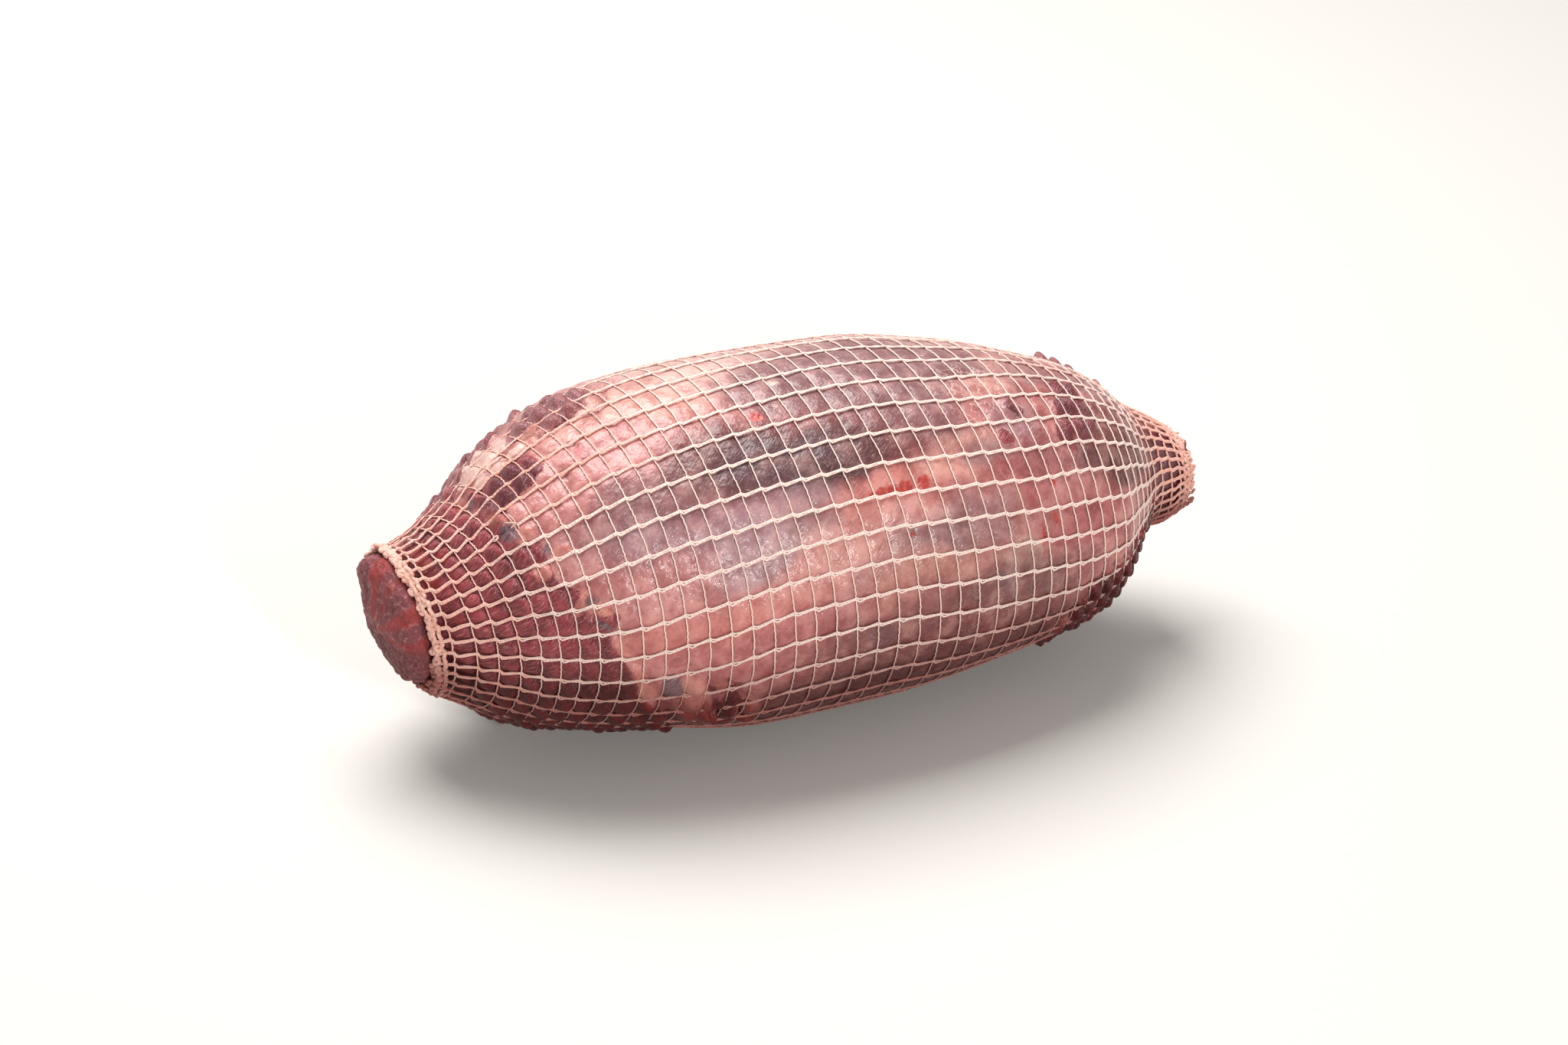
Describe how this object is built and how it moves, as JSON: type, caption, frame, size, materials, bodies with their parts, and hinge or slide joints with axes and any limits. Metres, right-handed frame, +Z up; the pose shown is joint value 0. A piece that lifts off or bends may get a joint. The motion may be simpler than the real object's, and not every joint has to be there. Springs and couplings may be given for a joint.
{
  "type": "netted boneless reindeer roast",
  "caption": "Raw boneless roast of rolled lean and membrane in a knitted elastic net sleeve, blunt craggy meat showing at both open mouths, lying on its side.",
  "frame": {"origin": "on the surface the roast lies on, under the middle of its box", "axes": "+X along the roast toward its narrow gathered end, -X toward the open end where lean meat bulges out, +Z up, -Y toward the side that is seen"},
  "size_m": [0.2852, 0.1315, 0.1175],
  "materials": {
    "net": "matt knitted cotton and elastic, cream turning salmon pink near the mouths",
    "meat": "moist raw lean, fascia and fat"
  },
  "bodies": {
    "root": {"net": "net", "meat": "meat"}
  },
  "joints": []
}
